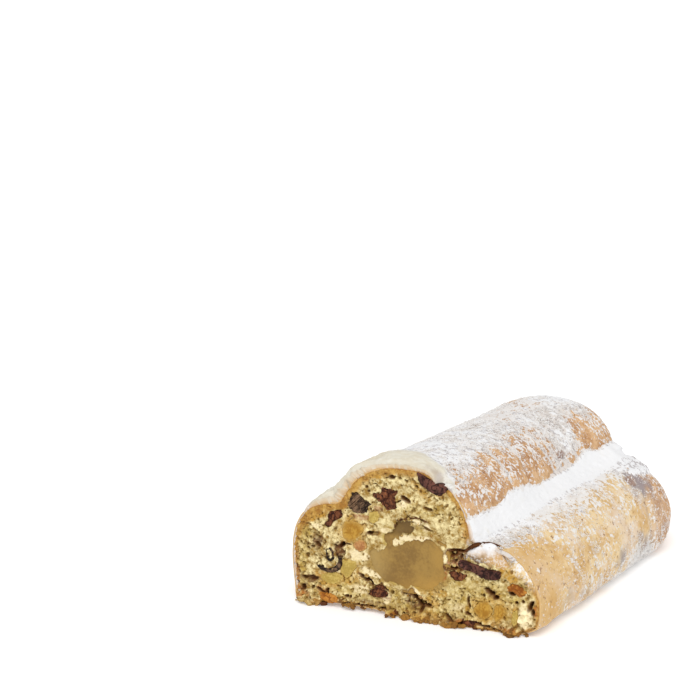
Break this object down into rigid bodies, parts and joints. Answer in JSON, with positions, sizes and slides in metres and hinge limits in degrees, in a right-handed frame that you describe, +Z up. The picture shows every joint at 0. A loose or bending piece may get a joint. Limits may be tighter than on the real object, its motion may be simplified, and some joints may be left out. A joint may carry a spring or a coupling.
{
  "type": "half stollen loaf",
  "caption": "Folded fruit loaf cut across, showing raisins, candied peel and a marzipan core, under icing sugar.",
  "frame": {"origin": "middle of the footprint, on the surface that the loaf rests on", "axes": "+Z up; +Y along the loaf, from the cut face towards the far end; the lip of the fold is on the +X side"},
  "size_m": [0.1038, 0.1394, 0.0559],
  "materials": {
    "dough": "yeast dough: pale porous crumb, golden crust under a coat of icing sugar",
    "marzipan": "dense smooth almond paste, slightly moist",
    "raisin": "dark wrinkled dried fruit with a moist sheen where cut",
    "candied_peel": "yellow and orange candied citrus peel, glassy and translucent"
  },
  "bodies": {
    "root": {"loaf": "dough", "marzipan": "marzipan", "raisin_1": "raisin", "raisin_2": "raisin", "raisin_3": "raisin", "raisin_4": "raisin", "raisin_5": "raisin", "raisin_6": "raisin", "raisin_7": "raisin", "raisin_8": "raisin", "raisin_9": "raisin", "raisin_10": "raisin", "raisin_11": "raisin", "peel_1": "candied_peel", "peel_2": "candied_peel", "peel_3": "candied_peel", "peel_4": "candied_peel", "peel_5": "candied_peel", "peel_6": "candied_peel", "peel_7": "candied_peel", "peel_8": "candied_peel", "crust_raisin_1": "raisin", "crust_raisin_2": "raisin", "crust_raisin_3": "raisin", "crust_raisin_4": "raisin", "crust_raisin_5": "raisin", "crust_peel_1": "candied_peel", "crust_peel_2": "candied_peel"}
  },
  "joints": []
}
